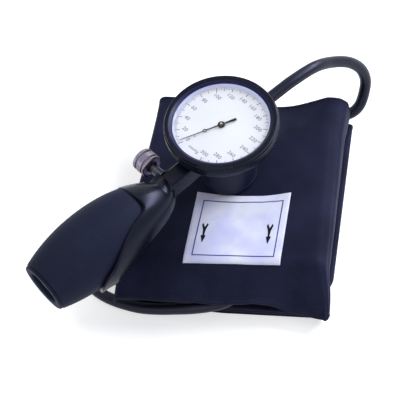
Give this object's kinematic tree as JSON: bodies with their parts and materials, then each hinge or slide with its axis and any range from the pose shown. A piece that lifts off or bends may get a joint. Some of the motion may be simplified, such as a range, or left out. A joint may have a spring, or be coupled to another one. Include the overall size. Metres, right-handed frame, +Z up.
{
  "type": "aneroid sphygmomanometer",
  "caption": "Palm-type blood pressure gauge with dial, squeeze bulb, spoon grip, release valve and hose, lying on its folded arm cuff.",
  "frame": {"origin": "centre of the folded cuff's underside, on the surface that it lies on", "axes": "+Z up, away from that surface; +X across the folds to the big fold; +Y along the width of the cloth, to the edge behind the gauge"},
  "size_m": [0.1822, 0.2004, 0.0853],
  "materials": {
    "cuff_nylon": "woven, dull sheen",
    "lining_nylon": "woven, dull",
    "binding_tape": "woven tape",
    "fastener_tape": "looped pile",
    "label_cloth": "smooth printed",
    "bladder_rubber": "matte",
    "hose_rubber": "satin",
    "bulb_rubber": "matte",
    "seal_rubber": "matte",
    "valve_rubber": "matte",
    "black_gloss": "moulded, glossy",
    "black_matte": "moulded",
    "black_paint": "satin enamel",
    "dial_white": "matt enamel",
    "pointer_black": "matt",
    "plated_brass": "plated, satin",
    "knob_metal": "knurled and plated",
    "movement_brass": "rolled",
    "capsule_bronze": "thin rolled",
    "blued_spring": "blued",
    "steel": "turned",
    "window": "clear"
  },
  "bodies": {
    "base": {"cuff_cloth": "cuff_nylon", "cuff_lining": "lining_nylon", "bladder": "bladder_rubber", "cuff_binding": "binding_tape", "hook_tape": "fastener_tape", "loop_tape": "fastener_tape", "cuff_label": "label_cloth", "cuff_port": "black_matte", "hose": "hose_rubber", "hose_clamp": "black_matte", "hose_nipple": "plated_brass", "gauge_body": "black_paint", "body_cap": "black_matte", "gauge_case": "black_gloss", "case_screws": "steel", "bezel": "black_gloss", "lens": "window", "lens_gasket": "seal_rubber", "dial_plate": "dial_white", "dial_screws": "steel", "zero_stop": "steel", "hairspring": "blued_spring", "spring_stud": "movement_brass", "lower_plate": "movement_brass", "upper_plate": "movement_brass", "plate_pillars": "movement_brass", "plate_screws": "steel", "capsule_lower": "capsule_bronze", "capsule_upper": "capsule_bronze", "capsule_stud": "movement_brass", "neck_block": "black_gloss", "neck_spigot": "plated_brass", "neck_seal": "seal_rubber", "valve_barrel": "plated_brass", "valve_packing": "seal_rubber", "outlet_fitting": "plated_brass", "outlet_stop": "plated_brass", "bulb_shell": "bulb_rubber", "spoon": "black_gloss", "inlet_body": "plated_brass", "inlet_stop": "plated_brass", "inlet_screen": "steel"},
    "pointer_body": {"pointer": "pointer_black", "pointer_arbor": "movement_brass"},
    "sector_body": {"sector_gear": "movement_brass"},
    "rocker_body": {"rocker": "steel"},
    "capsule_body": {"capsule_post": "movement_brass"},
    "needle_body": {"valve_needle": "plated_brass"},
    "knob_body": {"valve_knob": "knob_metal"},
    "outlet_body": {"outlet_disc": "valve_rubber"},
    "inlet_ball_body": {"inlet_ball": "steel"}
  },
  "joints": [
    {"name": "pointer_spin", "type": "hinge", "parent": "base", "child": "pointer_body", "pos_m": [-0.00688, 0.01011, 0.0578], "axis": [-0.0189, 0.0581, -0.9981], "range_deg": [0, 318.5], "stiffness_Nm_per_rad": 0.00001, "deforming": ["hairspring"]},
    {"name": "sector_swing", "type": "hinge", "parent": "base", "child": "sector_body", "pos_m": [-0.00785, 0.02004, 0.0584], "axis": [0.0189, -0.0581, 0.9981], "range_deg": [0, 35.39]},
    {"name": "rocker_tilt", "type": "hinge", "parent": "base", "child": "rocker_body", "pos_m": [-0.00383, 0.01446, 0.04898], "axis": [-0.7656, 0.6413, 0.0518], "range_deg": [0, 15.37]},
    {"name": "capsule_lift", "type": "slide", "parent": "base", "child": "capsule_body", "axis": [0.0189, -0.0581, 0.9981], "range_m": [0, 0.00117], "deforming": ["capsule_upper"]},
    {"name": "knob_turn", "type": "hinge", "parent": "needle_body", "child": "knob_body", "pos_m": [-0.04648, -0.01313, 0.06531], "axis": [-0.7656, 0.6413, 0.0518], "range_deg": [0, 720]},
    {"name": "valve_lift", "type": "slide", "parent": "base", "child": "needle_body", "axis": [-0.7656, 0.6413, 0.0518], "range_m": [0, 0.0014]},
    {"name": "outlet_lift", "type": "slide", "parent": "base", "child": "outlet_body", "axis": [0.6432, 0.7646, 0.0411], "range_m": [0, 0.0009]},
    {"name": "inlet_lift", "type": "slide", "parent": "base", "child": "inlet_ball_body", "axis": [0.6432, 0.7646, 0.0411], "range_m": [0, 0.0009]}
  ],
  "couplings": [
    {"joint": "sector_swing", "follows": "pointer_spin", "ratio": 0.11111},
    {"joint": "rocker_tilt", "follows": "pointer_spin", "ratio": 0.04826},
    {"joint": "capsule_lift", "follows": "pointer_spin", "m_per_rad": 0.00021013},
    {"joint": "valve_lift", "follows": "knob_turn", "m_per_rad": 0.00011141}
  ]
}
